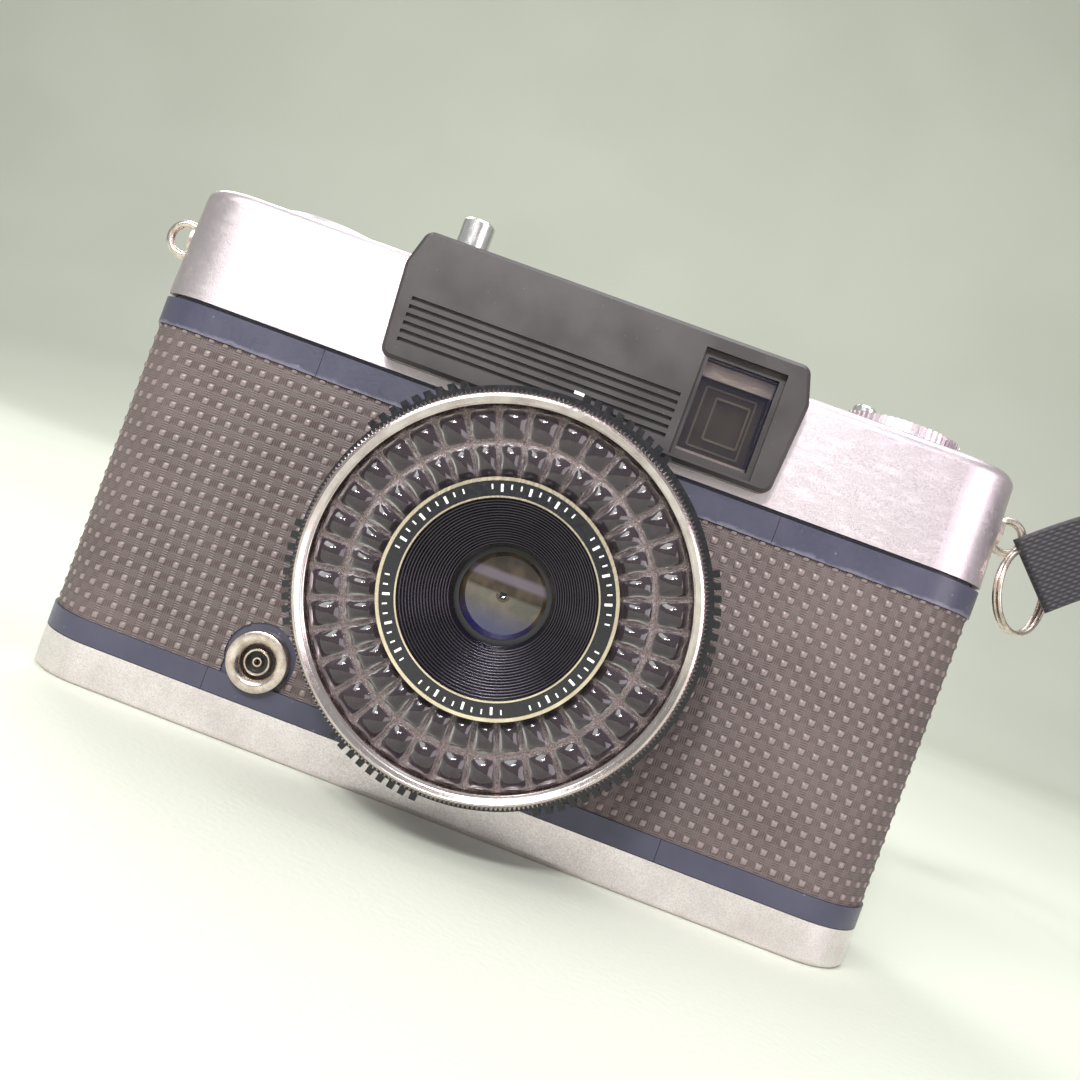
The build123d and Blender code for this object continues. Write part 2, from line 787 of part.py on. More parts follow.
os.makedirs("parts", exist_ok=True)
for name, maker in makers.items():
    export_step(maker(), "parts/" + name + ".step")
print(len(makers), "sub-parts written")
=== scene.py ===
import math

import bpy
import numpy as np
from mathutils import Matrix, Vector


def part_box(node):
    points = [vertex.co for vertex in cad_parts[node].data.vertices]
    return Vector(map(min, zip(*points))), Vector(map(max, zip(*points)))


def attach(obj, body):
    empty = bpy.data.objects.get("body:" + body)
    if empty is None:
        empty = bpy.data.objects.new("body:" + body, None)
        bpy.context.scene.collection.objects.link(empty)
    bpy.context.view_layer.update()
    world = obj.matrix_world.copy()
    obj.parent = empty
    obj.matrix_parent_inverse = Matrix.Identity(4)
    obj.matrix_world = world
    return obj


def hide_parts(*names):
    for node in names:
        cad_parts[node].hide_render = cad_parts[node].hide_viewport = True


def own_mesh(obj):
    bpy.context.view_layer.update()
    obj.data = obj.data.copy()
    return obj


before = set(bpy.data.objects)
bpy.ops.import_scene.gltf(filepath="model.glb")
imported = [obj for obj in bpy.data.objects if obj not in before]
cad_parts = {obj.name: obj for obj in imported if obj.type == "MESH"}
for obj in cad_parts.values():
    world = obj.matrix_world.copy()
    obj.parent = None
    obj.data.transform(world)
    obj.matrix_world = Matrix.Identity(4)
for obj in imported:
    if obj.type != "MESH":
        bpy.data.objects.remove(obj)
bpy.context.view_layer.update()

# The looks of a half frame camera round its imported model. Places are worked out in millimetres
# in the part's own frame: X right as seen from the front, Y from front to back, Z up.
MM = 0.001


def millimetres(corner):
    return corner[0] / MM, corner[1] / MM, corner[2] / MM


def box_of(node):
    low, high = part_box(node)
    return millimetres(low), millimetres(high)


# ---- places read from the frame ----
ring_low, ring_high = box_of("filter_ring")
lens_x = (ring_low[0] + ring_high[0]) / 2
lens_z = (ring_low[2] + ring_high[2]) / 2
front_y = box_of("front_panel")[0][1]

casing_low, casing_high = box_of("back_shell")
half_width = casing_high[0]
back_y = casing_high[1]
split_y = casing_low[1]
skin_low, skin_high = box_of("covering_left")
skin_bottom = skin_low[2]
skin_top = skin_high[2]
flash_low, flash_high = box_of("flash_shell")
flash_x = (flash_low[0] + flash_high[0]) / 2
flash_z = (flash_low[2] + flash_high[2]) / 2

# two sizes from the CAD: the casing's round corners, and the depth of the covering's bed
corner_radius = 9.0
skin_floor = 0.6


# ---- camera ----
lens_length = 35
sensor_width = 36
nearest_seen = 0.005
camera_turn = math.radians(2.43)
camera_roll = math.radians(20.32)
camera_right = 7.03
camera_away = 131.1
camera_above = 7.7


def make_camera():
    """Stands where the photographer stood: nearly square to the front, and rolled."""
    data = bpy.data.cameras.new("camera")
    camera = bpy.data.objects.new("camera", data)
    bpy.context.scene.collection.objects.link(camera)
    bpy.context.scene.camera = camera
    data.lens = lens_length
    data.sensor_width = sensor_width
    data.clip_start = nearest_seen
    forward = Vector((-math.sin(camera_turn), math.cos(camera_turn), 0))
    level = Vector((math.cos(camera_turn), math.sin(camera_turn), 0))
    upright = Vector((0, 0, 1))
    right = math.cos(camera_roll) * level + math.sin(camera_roll) * upright
    up = math.cos(camera_roll) * upright - math.sin(camera_roll) * level
    place = Matrix((right, up, -forward)).transposed().to_4x4()
    spot = Vector((lens_x + camera_right, front_y - camera_away, lens_z + camera_above))
    place.translation = spot * MM
    camera.matrix_world = place


# ---- finishes ----
class Finish:
    """A material with one Principled shader. Its textures lie in the part's frame, in millimetres."""

    def __init__(self, name, color, metallic=0.0, roughness=0.5, **sockets):
        self.material = bpy.data.materials.new(name)
        self.material.use_nodes = True
        self.tree = self.material.node_tree
        self.shader = self.tree.nodes["Principled BSDF"]
        self.set("Base Color", (*color, 1))
        self.set("Metallic", metallic)
        self.set("Roughness", roughness)
        for socket, value in sockets.items():
            self.set(socket.replace("_", " "), value)

    def set(self, socket, value):
        if isinstance(value, bpy.types.NodeSocket):
            self.tree.links.new(value, self.shader.inputs[socket])
        else:
            self.shader.inputs[socket].default_value = value

    def node(self, kind, inputs, **settings):
        node = self.tree.nodes.new(kind)
        for name, value in settings.items():
            setattr(node, name, value)
        for socket, value in inputs.items():
            if isinstance(value, bpy.types.NodeSocket):
                self.tree.links.new(value, node.inputs[socket])
            else:
                node.inputs[socket].default_value = value
        return node

    def place(self, stretch=(1, 1, 1)):
        """Where a point is in millimetres, stretched along each axis."""
        where = self.node("ShaderNodeTexCoord", {}).outputs["Object"]
        scale = [share / MM for share in stretch]
        return self.node("ShaderNodeMapping", {"Vector": where, "Scale": scale}).outputs["Vector"]

    def axis(self, letter):
        return self.node("ShaderNodeSeparateXYZ", {0: self.place()}).outputs[letter]

    def noise(self, size, detail=3.0, stretch=(1, 1, 1), uneven=0.5):
        """Soft random mottling whose blobs are about size millimetres across."""
        inputs = {"Vector": self.place(stretch), "Scale": 1 / size}
        inputs.update({"Detail": detail, "Roughness": uneven})
        return self.node("ShaderNodeTexNoise", inputs).outputs[0]

    def cells(self, size):
        """The distance to the nearest of many scattered points, about size millimetres apart."""
        inputs = {"Vector": self.place(), "Scale": 1 / size}
        return self.node("ShaderNodeTexVoronoi", inputs).outputs["Distance"]

    def attribute(self, name):
        return self.node("ShaderNodeAttribute", {}, attribute_name=name).outputs["Fac"]

    def levels(self, value, low, high, to_low=0.0, to_high=1.0):
        """Maps value from low..high to to_low..to_high, and holds it there outside that range."""
        inputs = {"Value": value, "From Min": low, "From Max": high, "To Min": to_low, "To Max": to_high}
        return self.node("ShaderNodeMapRange", inputs, clamp=True).outputs["Result"]

    def math(self, operation, one, two=0.0):
        return self.node("ShaderNodeMath", {0: one, 1: two}, operation=operation).outputs[0]

    def mix(self, share, one, two):
        """One colour at a share of nought, the other at a share of one."""
        one = one if isinstance(one, bpy.types.NodeSocket) else (*one, 1)
        two = two if isinstance(two, bpy.types.NodeSocket) else (*two, 1)
        return self.node("ShaderNodeMix", {0: share, 6: one, 7: two}, data_type="RGBA").outputs[2]

    def bump(self, height, depth, strength=1.0, under=None):
        """Raises the surface by height, where one means depth millimetres."""
        inputs = {"Height": height, "Distance": depth * MM, "Strength": strength}
        if under is not None:
            inputs["Normal"] = under
        return self.node("ShaderNodeBump", inputs).outputs["Normal"]


def satin_silver():
    """Bead blasted aluminium: fine glittering grain, faint stains and small scuffs."""
    f = Finish("satin_silver", (0.8, 0.79, 0.78), metallic=1.0, roughness=0.4)
    grain = f.noise(0.16, detail=2.0)
    stains = f.noise(9.0, detail=4.0)
    scuffs = f.noise(1.1, detail=5.0, stretch=(0.35, 1, 1), uneven=0.7)
    tone = f.mix(f.levels(stains, 0.35, 0.7), (0.78, 0.69, 0.74), (0.68, 0.59, 0.64))
    tone = f.mix(f.levels(grain, 0.3, 0.75, 0.0, 0.5), tone, (0.5, 0.47, 0.46))
    f.set("Base Color", tone)
    rough = f.math("ADD", f.levels(grain, 0.25, 0.75, 0.3, 0.5), f.levels(scuffs, 0.5, 0.8, 0.0, 0.12))
    f.set("Roughness", rough)
    fine = f.bump(grain, 0.02, 0.6)
    f.set("Normal", f.bump(scuffs, 0.01, 0.3, fine))
    return f.material


def slate_paint():
    """Blue grey enamel, rubbed through to bright metal along one line, at the height of the covering's
    top edge.
    """
    f = Finish("slate_paint", (0.12, 0.12, 0.2), roughness=0.36)
    grain = f.noise(0.3, detail=3.0)
    clouds = f.noise(7.0, detail=4.0)
    tone = f.mix(f.levels(clouds, 0.3, 0.7), (0.045, 0.045, 0.078), (0.066, 0.063, 0.1))
    wander = f.levels(f.noise(2.2, detail=5.0, uneven=0.7), 0.3, 0.75, -0.35, 0.35)
    height = f.math("ADD", f.axis("Z"), wander)
    off_edge = f.math("ABSOLUTE", f.math("SUBTRACT", height, skin_top + 0.05))
    worn = f.levels(off_edge, 0.05, 0.4, 0.55, 0.0)
    tone = f.mix(worn, tone, (0.2, 0.19, 0.25))
    specks = f.levels(f.cells(1.9), 0.045, 0.07, 0.8, 0.0)
    f.set("Base Color", f.mix(specks, tone, (0.2, 0.19, 0.24)))
    f.set("Roughness", f.levels(grain, 0.3, 0.7, 0.3, 0.46))
    f.set("Normal", f.bump(grain, 0.012, 0.5))
    return f.material


def taupe_covering():
    """Embossed vinyl with painted shade in the grooves and a painted highlight on the stud tops, rubbed
    shiny on top of each stud.
    """
    f = Finish("taupe_covering", (0.2, 0.16, 0.15), roughness=0.5)
    relief = f.attribute("relief")
    grain = f.noise(0.12, detail=3.0)
    clouds = f.noise(12.0, detail=3.0)
    # painted shade: a dark, mottled colour for the grooves
    low = f.mix(f.levels(clouds, 0.35, 0.65), (0.07, 0.05, 0.049), (0.1, 0.074, 0.072))
    # painted highlight and shade: the colour rises with the relief, light on the stud tops and dark in
    # the grooves
    tone = f.mix(f.levels(relief, 0.1, 0.7), low, (0.235, 0.18, 0.178))
    f.set("Base Color", f.mix(f.levels(grain, 0.45, 0.8, 0.0, 0.3), tone, (0.06, 0.045, 0.043)))
    rough = f.math("ADD", f.levels(relief, 0.2, 1.0, 0.5, 0.22), f.levels(grain, 0.3, 0.7, -0.05, 0.07))
    f.set("Roughness", rough)
    f.set("Normal", f.bump(grain, 0.02, 0.5))
    return f.material


def grey_plastic():
    """Moulded warm grey plastic with a faint pebble, a little shinier where it is handled."""
    f = Finish("grey_plastic", (0.115, 0.098, 0.104), roughness=0.42)
    pebble = f.noise(0.35, detail=3.0)
    clouds = f.noise(6.0, detail=4.0)
    tone = f.mix(f.levels(clouds, 0.35, 0.7), (0.04, 0.033, 0.035), (0.052, 0.044, 0.047))
    specks = f.levels(f.cells(1.6), 0.03, 0.05, 0.5, 0.0)
    f.set("Base Color", f.mix(specks, tone, (0.2, 0.18, 0.18)))
    f.set("Roughness", f.levels(clouds, 0.3, 0.7, 0.34, 0.46))
    f.set("Normal", f.bump(pebble, 0.012, 0.5))
    return f.material


def black_paint():
    """Gloss black enamel on the lens rings, with dust and hairline wear."""
    f = Finish("black_paint", (0.012, 0.012, 0.015), roughness=0.24)
    dust = f.levels(f.cells(0.8), 0.05, 0.08, 0.35, 0.0)
    f.set("Base Color", f.mix(dust, (0.01, 0.01, 0.013), (0.12, 0.11, 0.11)))
    f.set("Roughness", f.levels(f.noise(0.5, detail=4.0), 0.3, 0.75, 0.18, 0.34))
    f.set("Normal", f.bump(f.noise(0.2), 0.006, 0.4))
    return f.material


def matt_black():
    """Anodised black that lines the lens and the blades."""
    f = Finish("matt_black", (0.01, 0.01, 0.012), roughness=0.42)
    f.set("Base Color", f.mix(f.noise(0.4), (0.007, 0.007, 0.009), (0.02, 0.019, 0.022)))
    f.set("Roughness", f.levels(f.noise(0.3, detail=4.0), 0.3, 0.7, 0.34, 0.5))
    return f.material


def black_plastic():
    """Plain moulded black, for the eyepiece frame and the parts inside."""
    f = Finish("black_plastic", (0.014, 0.014, 0.015), roughness=0.45)
    f.set("Base Color", f.mix(f.noise(1.5), (0.011, 0.011, 0.012), (0.024, 0.023, 0.023)))
    f.set("Roughness", f.levels(f.noise(0.4, detail=4.0), 0.3, 0.7, 0.36, 0.55))
    f.set("Normal", f.bump(f.noise(0.25), 0.01, 0.4))
    return f.material


def bright_metal(name, light, dark, smooth, rough, size=2.5):
    """Plated or turned metal with soft tarnish and hairline marks."""
    f = Finish(name, light, metallic=1.0, roughness=smooth)
    tarnish = f.noise(size, detail=5.0, uneven=0.6)
    marks = f.noise(0.3, detail=4.0, stretch=(1, 1, 0.3))
    f.set("Base Color", f.mix(f.levels(tarnish, 0.35, 0.75), light, dark))
    f.set("Roughness", f.levels(f.math("ADD", tarnish, marks), 0.7, 1.3, smooth, rough))
    f.set("Normal", f.bump(marks, 0.006, 0.35))
    return f.material


def clear_plastic():
    """The moulded window over the light cell: smoky, glossy, with dusty pinkish grooves."""
    f = Finish("clear_plastic", (0.1, 0.08, 0.085), roughness=0.05, IOR=1.5, Transmission_Weight=0.45)
    groove = f.levels(f.attribute("relief"), 0.0, 0.35, 1.0, 0.0)
    grit = f.noise(0.14, detail=4.0, uneven=0.75)
    depth = f.mix(f.noise(1.7), (0.03, 0.022, 0.027), (0.08, 0.06, 0.072))
    dust = f.math("MULTIPLY", groove, f.levels(grit, 0.42, 0.62))
    f.set("Base Color", f.mix(dust, depth, (0.36, 0.24, 0.22)))
    rough = f.math("ADD", f.levels(grit, 0.55, 0.8, 0.04, 0.1), f.math("MULTIPLY", groove, 0.2))
    f.set("Roughness", rough)
    f.set("Normal", f.bump(f.math("MULTIPLY", groove, grit), 0.2, 0.8))
    return f.material


def glass():
    """Coated lens glass with a violet bloom."""
    f = Finish("glass", (0.97, 0.96, 1.0), roughness=0.01, IOR=1.6, Transmission_Weight=1.0)
    f.set("Base Color", f.mix(f.noise(6.0), (0.8, 0.74, 0.62), (0.7, 0.68, 0.74)))
    f.set("Specular Tint", (0.62, 0.6, 1.0, 1))
    return f.material


def selenium():
    """Brown black light cell: a fine comb of collector lines over a mottled coat."""
    f = Finish("selenium", (0.05, 0.035, 0.03), metallic=0.3, roughness=0.4)
    mottle = f.noise(0.35, detail=5.0, uneven=0.7)
    tone = f.mix(f.levels(mottle, 0.35, 0.65), (0.014, 0.009, 0.009), (0.07, 0.042, 0.032))
    lines = f.levels(f.math("FRACT", f.math("MULTIPLY", f.axis("Z"), 1.25)), 0.0, 0.16, 0.75, 0.0)
    f.set("Base Color", f.mix(lines, tone, (0.1, 0.085, 0.12)))
    f.set("Roughness", f.levels(mottle, 0.3, 0.7, 0.3, 0.6))
    f.set("Normal", f.bump(mottle, 0.03, 0.6))
    return f.material


def webbing():
    """Black nylon webbing with a slight violet sheen and grey lint."""
    f = Finish("webbing", (0.02, 0.018, 0.024), roughness=0.6, Sheen_Weight=0.35, Sheen_Roughness=0.4)
    threads = f.noise(0.1, detail=3.0)
    relief = f.attribute("relief")
    # painted shade: the gaps between the raised threads are coloured darker than the threads
    tone = f.mix(f.levels(relief, 0.1, 1.0), (0.006, 0.005, 0.008), (0.04, 0.036, 0.048))
    f.set("Base Color", f.mix(f.levels(threads, 0.6, 0.8, 0.0, 0.6), tone, (0.12, 0.11, 0.12)))
    f.set("Roughness", f.levels(threads, 0.3, 0.7, 0.42, 0.7))
    f.set("Normal", f.bump(threads, 0.04, 0.7))
    return f.material


def ridged_black():
    """Satin black that catches fans of light round the turned ridges."""
    f = Finish("ridged_black", (0.05, 0.045, 0.055), metallic=0.9, roughness=0.22)
    f.set("Base Color", f.mix(f.noise(3.0), (0.045, 0.04, 0.05), (0.075, 0.068, 0.085)))
    f.set("Roughness", f.levels(f.noise(4.0), 0.3, 0.7, 0.2, 0.27))
    return f.material


def painted_reflection_glass():
    """The front element with painted reflections: olive brown depths, a lavender highlight band, a blue
    rim low down, and a dark stop painted for the shaded opening.
    """
    f = Finish("painted_reflection_glass", (0.03, 0.02, 0.012), roughness=0.02, IOR=1.7,
               Coat_Weight=0.6, Coat_Roughness=0.02)
    height = f.math("SUBTRACT", f.axis("Z"), lens_z)
    across = f.math("SUBTRACT", f.axis("X"), lens_x)
    # painted reflection: olive brown clouds across the glass
    clouds = f.levels(f.noise(2.2, detail=1.0), 0.4, 0.6)
    tone = f.mix(clouds, (0.034, 0.023, 0.013), (0.075, 0.052, 0.03))
    # painted highlight: a lavender band a little above the middle
    band = f.levels(f.math("ABSOLUTE", f.math("SUBTRACT", height, 2.1)), 0.35, 0.8, 0.75, 0.0)
    tone = f.mix(band, tone, (0.17, 0.14, 0.18))
    # painted reflection: a blue rim towards the bottom
    tone = f.mix(f.levels(height, -3.9, -1.2, 0.9, 0.0), tone, (0.012, 0.01, 0.09))
    # painted shade: a small dark square in the middle for the shaded opening of the stop
    reach = f.math("MAXIMUM", f.math("ABSOLUTE", height), f.math("ABSOLUTE", across))
    f.set("Base Color", f.mix(f.levels(reach, 0.36, 0.42, 1.0, 0.0), tone, (0.002, 0.002, 0.003)))
    return f.material


def base_silver():
    """The base's metal: darker and more worn than the top, with a pinkish glitter and a pink tint that
    is a painted reflection of pinkish light.
    """
    f = Finish("base_silver", (0.6, 0.56, 0.56), metallic=1.0, roughness=0.36)
    grain = f.noise(0.14, detail=2.0)
    worn = f.noise(7.0, detail=5.0, uneven=0.65)
    # painted reflection: both tones carry a pink tint standing in for pinkish light reflected by the
    # base
    tone = f.mix(f.levels(worn, 0.35, 0.65), (0.92, 0.87, 0.88), (0.76, 0.69, 0.7))
    f.set("Base Color", f.mix(f.levels(grain, 0.35, 0.75, 0.0, 0.6), tone, (0.45, 0.39, 0.39)))
    f.set("Roughness", f.levels(grain, 0.25, 0.75, 0.24, 0.46))
    f.set("Normal", f.bump(grain, 0.03, 0.8))
    return f.material


def coated_bronze():
    """The shutter blades' olive brown coat."""
    f = Finish("coated_bronze", (0.06, 0.04, 0.02), metallic=0.8, roughness=0.3)
    f.set("Base Color", f.mix(f.noise(6.0), (0.035, 0.024, 0.012), (0.07, 0.047, 0.024)))
    f.set("Roughness", f.levels(f.noise(5.0), 0.3, 0.7, 0.3, 0.4))
    return f.material


def smoked_glass(name, dark, light):
    """Dark glossy glass, for the finder's frame plates and for the block of painted shade inside it."""
    f = Finish(name, dark, roughness=0.08, IOR=1.5)
    f.set("Base Color", f.mix(f.noise(4.0, detail=2.0), dark, light))
    f.set("Roughness", f.levels(f.noise(0.9), 0.3, 0.7, 0.05, 0.18))
    return f.material


def white_paint():
    """The fill of the engraved marks."""
    f = Finish("white_paint", (0.8, 0.78, 0.76), roughness=0.5)
    f.set("Base Color", f.mix(f.levels(f.noise(0.5), 0.5, 0.8), (0.8, 0.78, 0.76), (0.55, 0.52, 0.5)))
    return f.material


def make_finishes():
    """A finish for every material slot, by the slot's name."""
    return {
        "satin_silver": satin_silver(),
        "slate_paint": slate_paint(),
        "taupe_covering": taupe_covering(),
        "grey_plastic": grey_plastic(),
        "black_paint": black_paint(),
        "matt_black": matt_black(),
        "chrome": bright_metal("chrome", (0.66, 0.6, 0.59), (0.42, 0.35, 0.34), 0.12, 0.3),
        "nickel": bright_metal("nickel", (0.72, 0.64, 0.58), (0.42, 0.32, 0.27), 0.16, 0.42, 1.2),
        "clear_plastic": clear_plastic(),
        "glass": glass(),
        "selenium": selenium(),
        "steel": bright_metal("steel", (0.6, 0.59, 0.58), (0.45, 0.43, 0.42), 0.25, 0.4),
        "brass": bright_metal("brass", (0.72, 0.52, 0.24), (0.5, 0.34, 0.15), 0.25, 0.45),
        "aluminium": bright_metal("aluminium", (0.85, 0.84, 0.83), (0.68, 0.66, 0.65), 0.14, 0.32),
        "black_plastic": black_plastic(),
        "webbing": webbing(),
    }


make_camera()
finishes = make_finishes()
champagne = bright_metal("champagne", (0.78, 0.68, 0.52), (0.6, 0.5, 0.38), 0.2, 0.35)
paint_white = white_paint()
bronze = coated_bronze()
own_finishes = {
    "front_lens": painted_reflection_glass(),
    "base_plate": base_silver(),
    "shutter_blade_right": bronze,
    "shutter_blade_left": bronze,
}


# ---- mesh helpers ----
def piece(name, points, faces, body, slot, finish=None, instead_of=(), sharp=40):
    """Makes a mesh from points in millimetres, and rides it on a body."""
    label = name + "_detail" if name in instead_of else name
    mesh = bpy.data.meshes.new(label)
    mesh.from_pydata((np.asarray(points, float) * MM).tolist(), [], [list(face) for face in faces])
    mesh.update()
    mesh.shade_smooth()
    mesh.set_sharp_from_angle(angle=math.radians(sharp))
    mesh.materials.append(finish or finishes[slot])
    thing = bpy.data.objects.new(label, mesh)
    bpy.context.scene.collection.objects.link(thing)
    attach(thing, body)
    if instead_of:
        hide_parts(*instead_of)
    return thing


def grid_faces(rows, columns, close_rows=False, close_columns=False):
    """Quads over a grid of points laid out row by row."""
    row = np.arange(rows if close_rows else rows - 1)
    column = np.arange(columns if close_columns else columns - 1)
    i, j = np.meshgrid(row, column, indexing="ij")
    next_i = (i + 1) % rows
    next_j = (j + 1) % columns
    corners = [i * columns + j, i * columns + next_j, next_i * columns + next_j, next_i * columns + j]
    return np.stack([corner.ravel() for corner in corners], axis=1)


def around_lens(radius, angle, out):
    """A point by its distance from the lens axis, its angle and how far it stands out of the front."""
    x = lens_x + radius * np.cos(angle)
    z = lens_z + radius * np.sin(angle)
    return np.stack([x, np.broadcast_to(front_y - out, np.shape(x)), z], axis=-1)


# how far a tooth's gap sinks backwards, as a share of its depth
tooth_lean = 0.6


def lathe(name, profile, body, slot, steps=192, teeth=0, centre=None, **more):
    """Turns a closed outline of (radius, out) or (radius, out, tooth depth) round an axis along Y."""
    angle = np.arange(steps) * 2 * math.pi / steps
    outline = [(*point, 0.0)[:3] for point in profile]
    radius, out, depth = (np.array(column) for column in zip(*outline))
    cut = 0.5 + 0.5 * np.cos(angle * teeth) if teeth else np.zeros(steps)
    turned = radius[:, None] - depth[:, None] * cut[None, :]
    raised = out[:, None] - tooth_lean * depth[:, None] * cut[None, :]
    points = around_lens(turned, angle[None, :], raised)
    if centre:
        points = points + np.array([centre[0] - lens_x, 0, centre[1] - lens_z])
    faces = grid_faces(len(profile), steps, close_rows=True, close_columns=True)
    return piece(name, points.reshape(-1, 3), faces, body, slot, **more)


# ---- coverings ----
cell_pitch = 1.9
stud_width = 1.0
stud_height = 0.24
stud_shoulder = 0.17
rib_height = 0.07
edge_drop = 0.22
smallest_step = 0.04
snap = 0.13
skin_inset = 0.4
skin_start = 9.0
seam_gap = 0.12
ring_hole = 23.7
terminal_hole = 4.6

# the plan from the middle of the front to the middle of the back: lengths along it
quarter = math.pi / 2 * (corner_radius - skin_floor)
straight = half_width - corner_radius
side_run = (back_y - front_y) - 2 * corner_radius
half_way = 2 * straight + 2 * quarter + side_run


def plan_point(travel, inset):
    """A point of the rounded plan, by its travel from the middle of the front round to the back."""
    radius = corner_radius - inset
    side_start = straight + quarter
    back_corner = side_start + side_run
    back_start = back_corner + quarter
    turned = np.clip((travel - straight) / quarter, 0, 1)
    turned = turned + np.clip((travel - back_corner) / quarter, 0, 1)
    heading = turned * math.pi / 2
    along = np.minimum(travel, straight) - np.maximum(travel - back_start, 0)
    x = along + radius * np.sin(heading)
    y = front_y + corner_radius - radius * np.cos(heading) + np.clip(travel - side_start, 0, side_run)
    return x, y


def embossed_axis(low, high, ribs, phase, open_end=False):
    """Grid lines from low to high, with the stud and rib heights along them.

    The first two lines, and the last two unless the end is open, make the sheet's turned down edge.
    """
    stud_lines = [(0.0, 0.0), (0.25, stud_shoulder), (0.5, stud_height), (0.75, stud_shoulder)]
    rib_lines = []
    for index in range(2 * ribs):
        offset = stud_width + (cell_pitch - stud_width) * index / (2 * ribs)
        rib_lines.append((offset, rib_height if index % 2 else 0.0))
    offsets = np.array([place for place, _ in stud_lines + rib_lines])
    studs = np.array([height for _, height in stud_lines] + [0.0] * len(rib_lines))
    lines = np.array([0.0] * len(stud_lines) + [height for _, height in rib_lines])
    first = math.floor((low - phase) / cell_pitch)
    count = math.ceil((high - phase) / cell_pitch) - first
    places = (phase + (first + np.arange(count))[:, None] * cell_pitch + offsets[None, :]).ravel()
    studs = np.tile(studs, count)
    lines = np.tile(lines, count)
    last = high + 0.001 if open_end else high - smallest_step
    inside = (places > low + smallest_step) & (places < last)
    places, studs, lines = places[inside], studs[inside], lines[inside]
    places = np.concatenate([[low, low], places])
    studs = np.concatenate([[0, 0], studs])
    lines = np.concatenate([[-edge_drop, 0], lines])
    if not open_end:
        places = np.concatenate([places, [high, high]])
        studs = np.concatenate([studs, [0, 0]])
        lines = np.concatenate([lines, [0, -edge_drop]])
    return places, studs, lines


def embossed_sheet(low, high, ribs, phase, open_end=False):
    """The points, faces and relief of a sheet of covering along part of the plan."""
    travel, stud_s, line_s = embossed_axis(low, high, ribs, phase, open_end)
    height, stud_z, line_z = embossed_axis(skin_bottom, skin_top, ribs, skin_bottom + 0.5)
    studs = np.minimum(stud_s[None, :], stud_z[:, None])
    relief = np.maximum(studs, np.maximum(line_s[None, :], line_z[:, None]))
    edge = np.minimum(line_s[None, :], line_z[:, None]) < 0
    relief = np.where(edge, -edge_drop, relief)
    x, y = plan_point(np.broadcast_to(travel[None, :], relief.shape), skin_inset - relief)
    z = np.broadcast_to(height[:, None], relief.shape)
    points = np.stack([x, y, z], axis=-1).reshape(-1, 3)
    return points, grid_faces(len(height), len(travel)), relief.ravel()


def loose_quads(points):
    """Faces for separate quads, whose corners follow each other in points."""
    return np.arange(len(points)).reshape(-1, 4)


def mirrored(points, faces):
    """The same sheet on the other side of the camera's middle."""
    return points * np.array([-1, 1, 1]), faces[:, ::-1]


def covering(name, points, faces, relief, body):
    """Makes a sheet of covering, marked with its relief."""
    sheet = piece(name, points, faces, body, "taupe_covering", instead_of=[name], sharp=35)
    mark_relief(sheet, np.clip(relief / stud_height, 0, 1))
    return sheet


def mark_relief(thing, relief):
    """Stores how high each point stands, for its finish to read."""
    attribute = thing.data.attributes.new("relief", "FLOAT", "POINT")
    attribute.data.foreach_set("value", np.asarray(relief, np.float32))


def cut_circle(points, faces, centre_x, centre_z, radius):
    """Pulls nearby points onto a circle and drops the faces inside it."""
    front = points[:, 1] < front_y + 1.0
    dx, dz = points[:, 0] - centre_x, points[:, 2] - centre_z
    distance = np.hypot(dx, dz)
    near = front & (abs(distance - radius) < snap)
    scale = np.where(near, radius / np.maximum(distance, 0.1), 1.0)
    points = points.copy()
    points[:, 0] = centre_x + dx * scale
    points[:, 2] = centre_z + dz * scale
    inside = front & (np.hypot(points[:, 0] - centre_x, points[:, 2] - centre_z) < radius - 0.01)
    return points, faces[~inside[faces].any(axis=1)]


def cut_notch(points, faces, left, right, top):
    """Cuts a notch that opens downwards, between two upright edges."""
    points = points.copy()
    low = (points[:, 2] < top) & (points[:, 1] < front_y + 1)
    for edge in (left, right):
        near = low & (abs(points[:, 0] - edge) < snap)
        points[near, 0] = edge
    inside = low & (points[:, 0] > left + 0.01) & (points[:, 0] < right - 0.01)
    return points, faces[~inside[faces].any(axis=1)]


def make_coverings():
    """The two front sheets, cut out for the lens and the terminal, and the sheet on the back."""
    seam = straight + quarter + split_y - seam_gap - (front_y + corner_radius)
    sheet, faces, relief = embossed_sheet(skin_start, seam, ribs=3, phase=0.45)
    points, kept = cut_circle(sheet, faces, lens_x, lens_z, ring_hole)
    covering("covering_right", points, kept, relief, "body")
    points, faces = mirrored(sheet, faces)
    points, faces = cut_circle(points, faces, lens_x, lens_z, ring_hole)
    points, faces = cut_circle(points, faces, flash_x - 0.1, flash_z + 0.3, terminal_hole)
    points, faces = cut_notch(points, faces, flash_x - 4.4, flash_x + 3.7, flash_z + 0.6)
    covering("covering_left", points, faces, relief, "body")
    middle_stud = half_way - 0.5
    sheet = embossed_sheet(seam + seam_gap, half_way, ribs=2, phase=middle_stud, open_end=True)
    points, faces, relief = sheet
    other, other_faces = mirrored(points, faces)
    both = np.concatenate([points, other])
    all_faces = np.concatenate([faces, other_faces + len(points)])
    covering("back_covering", both, all_faces, np.concatenate([relief, relief]), "back")


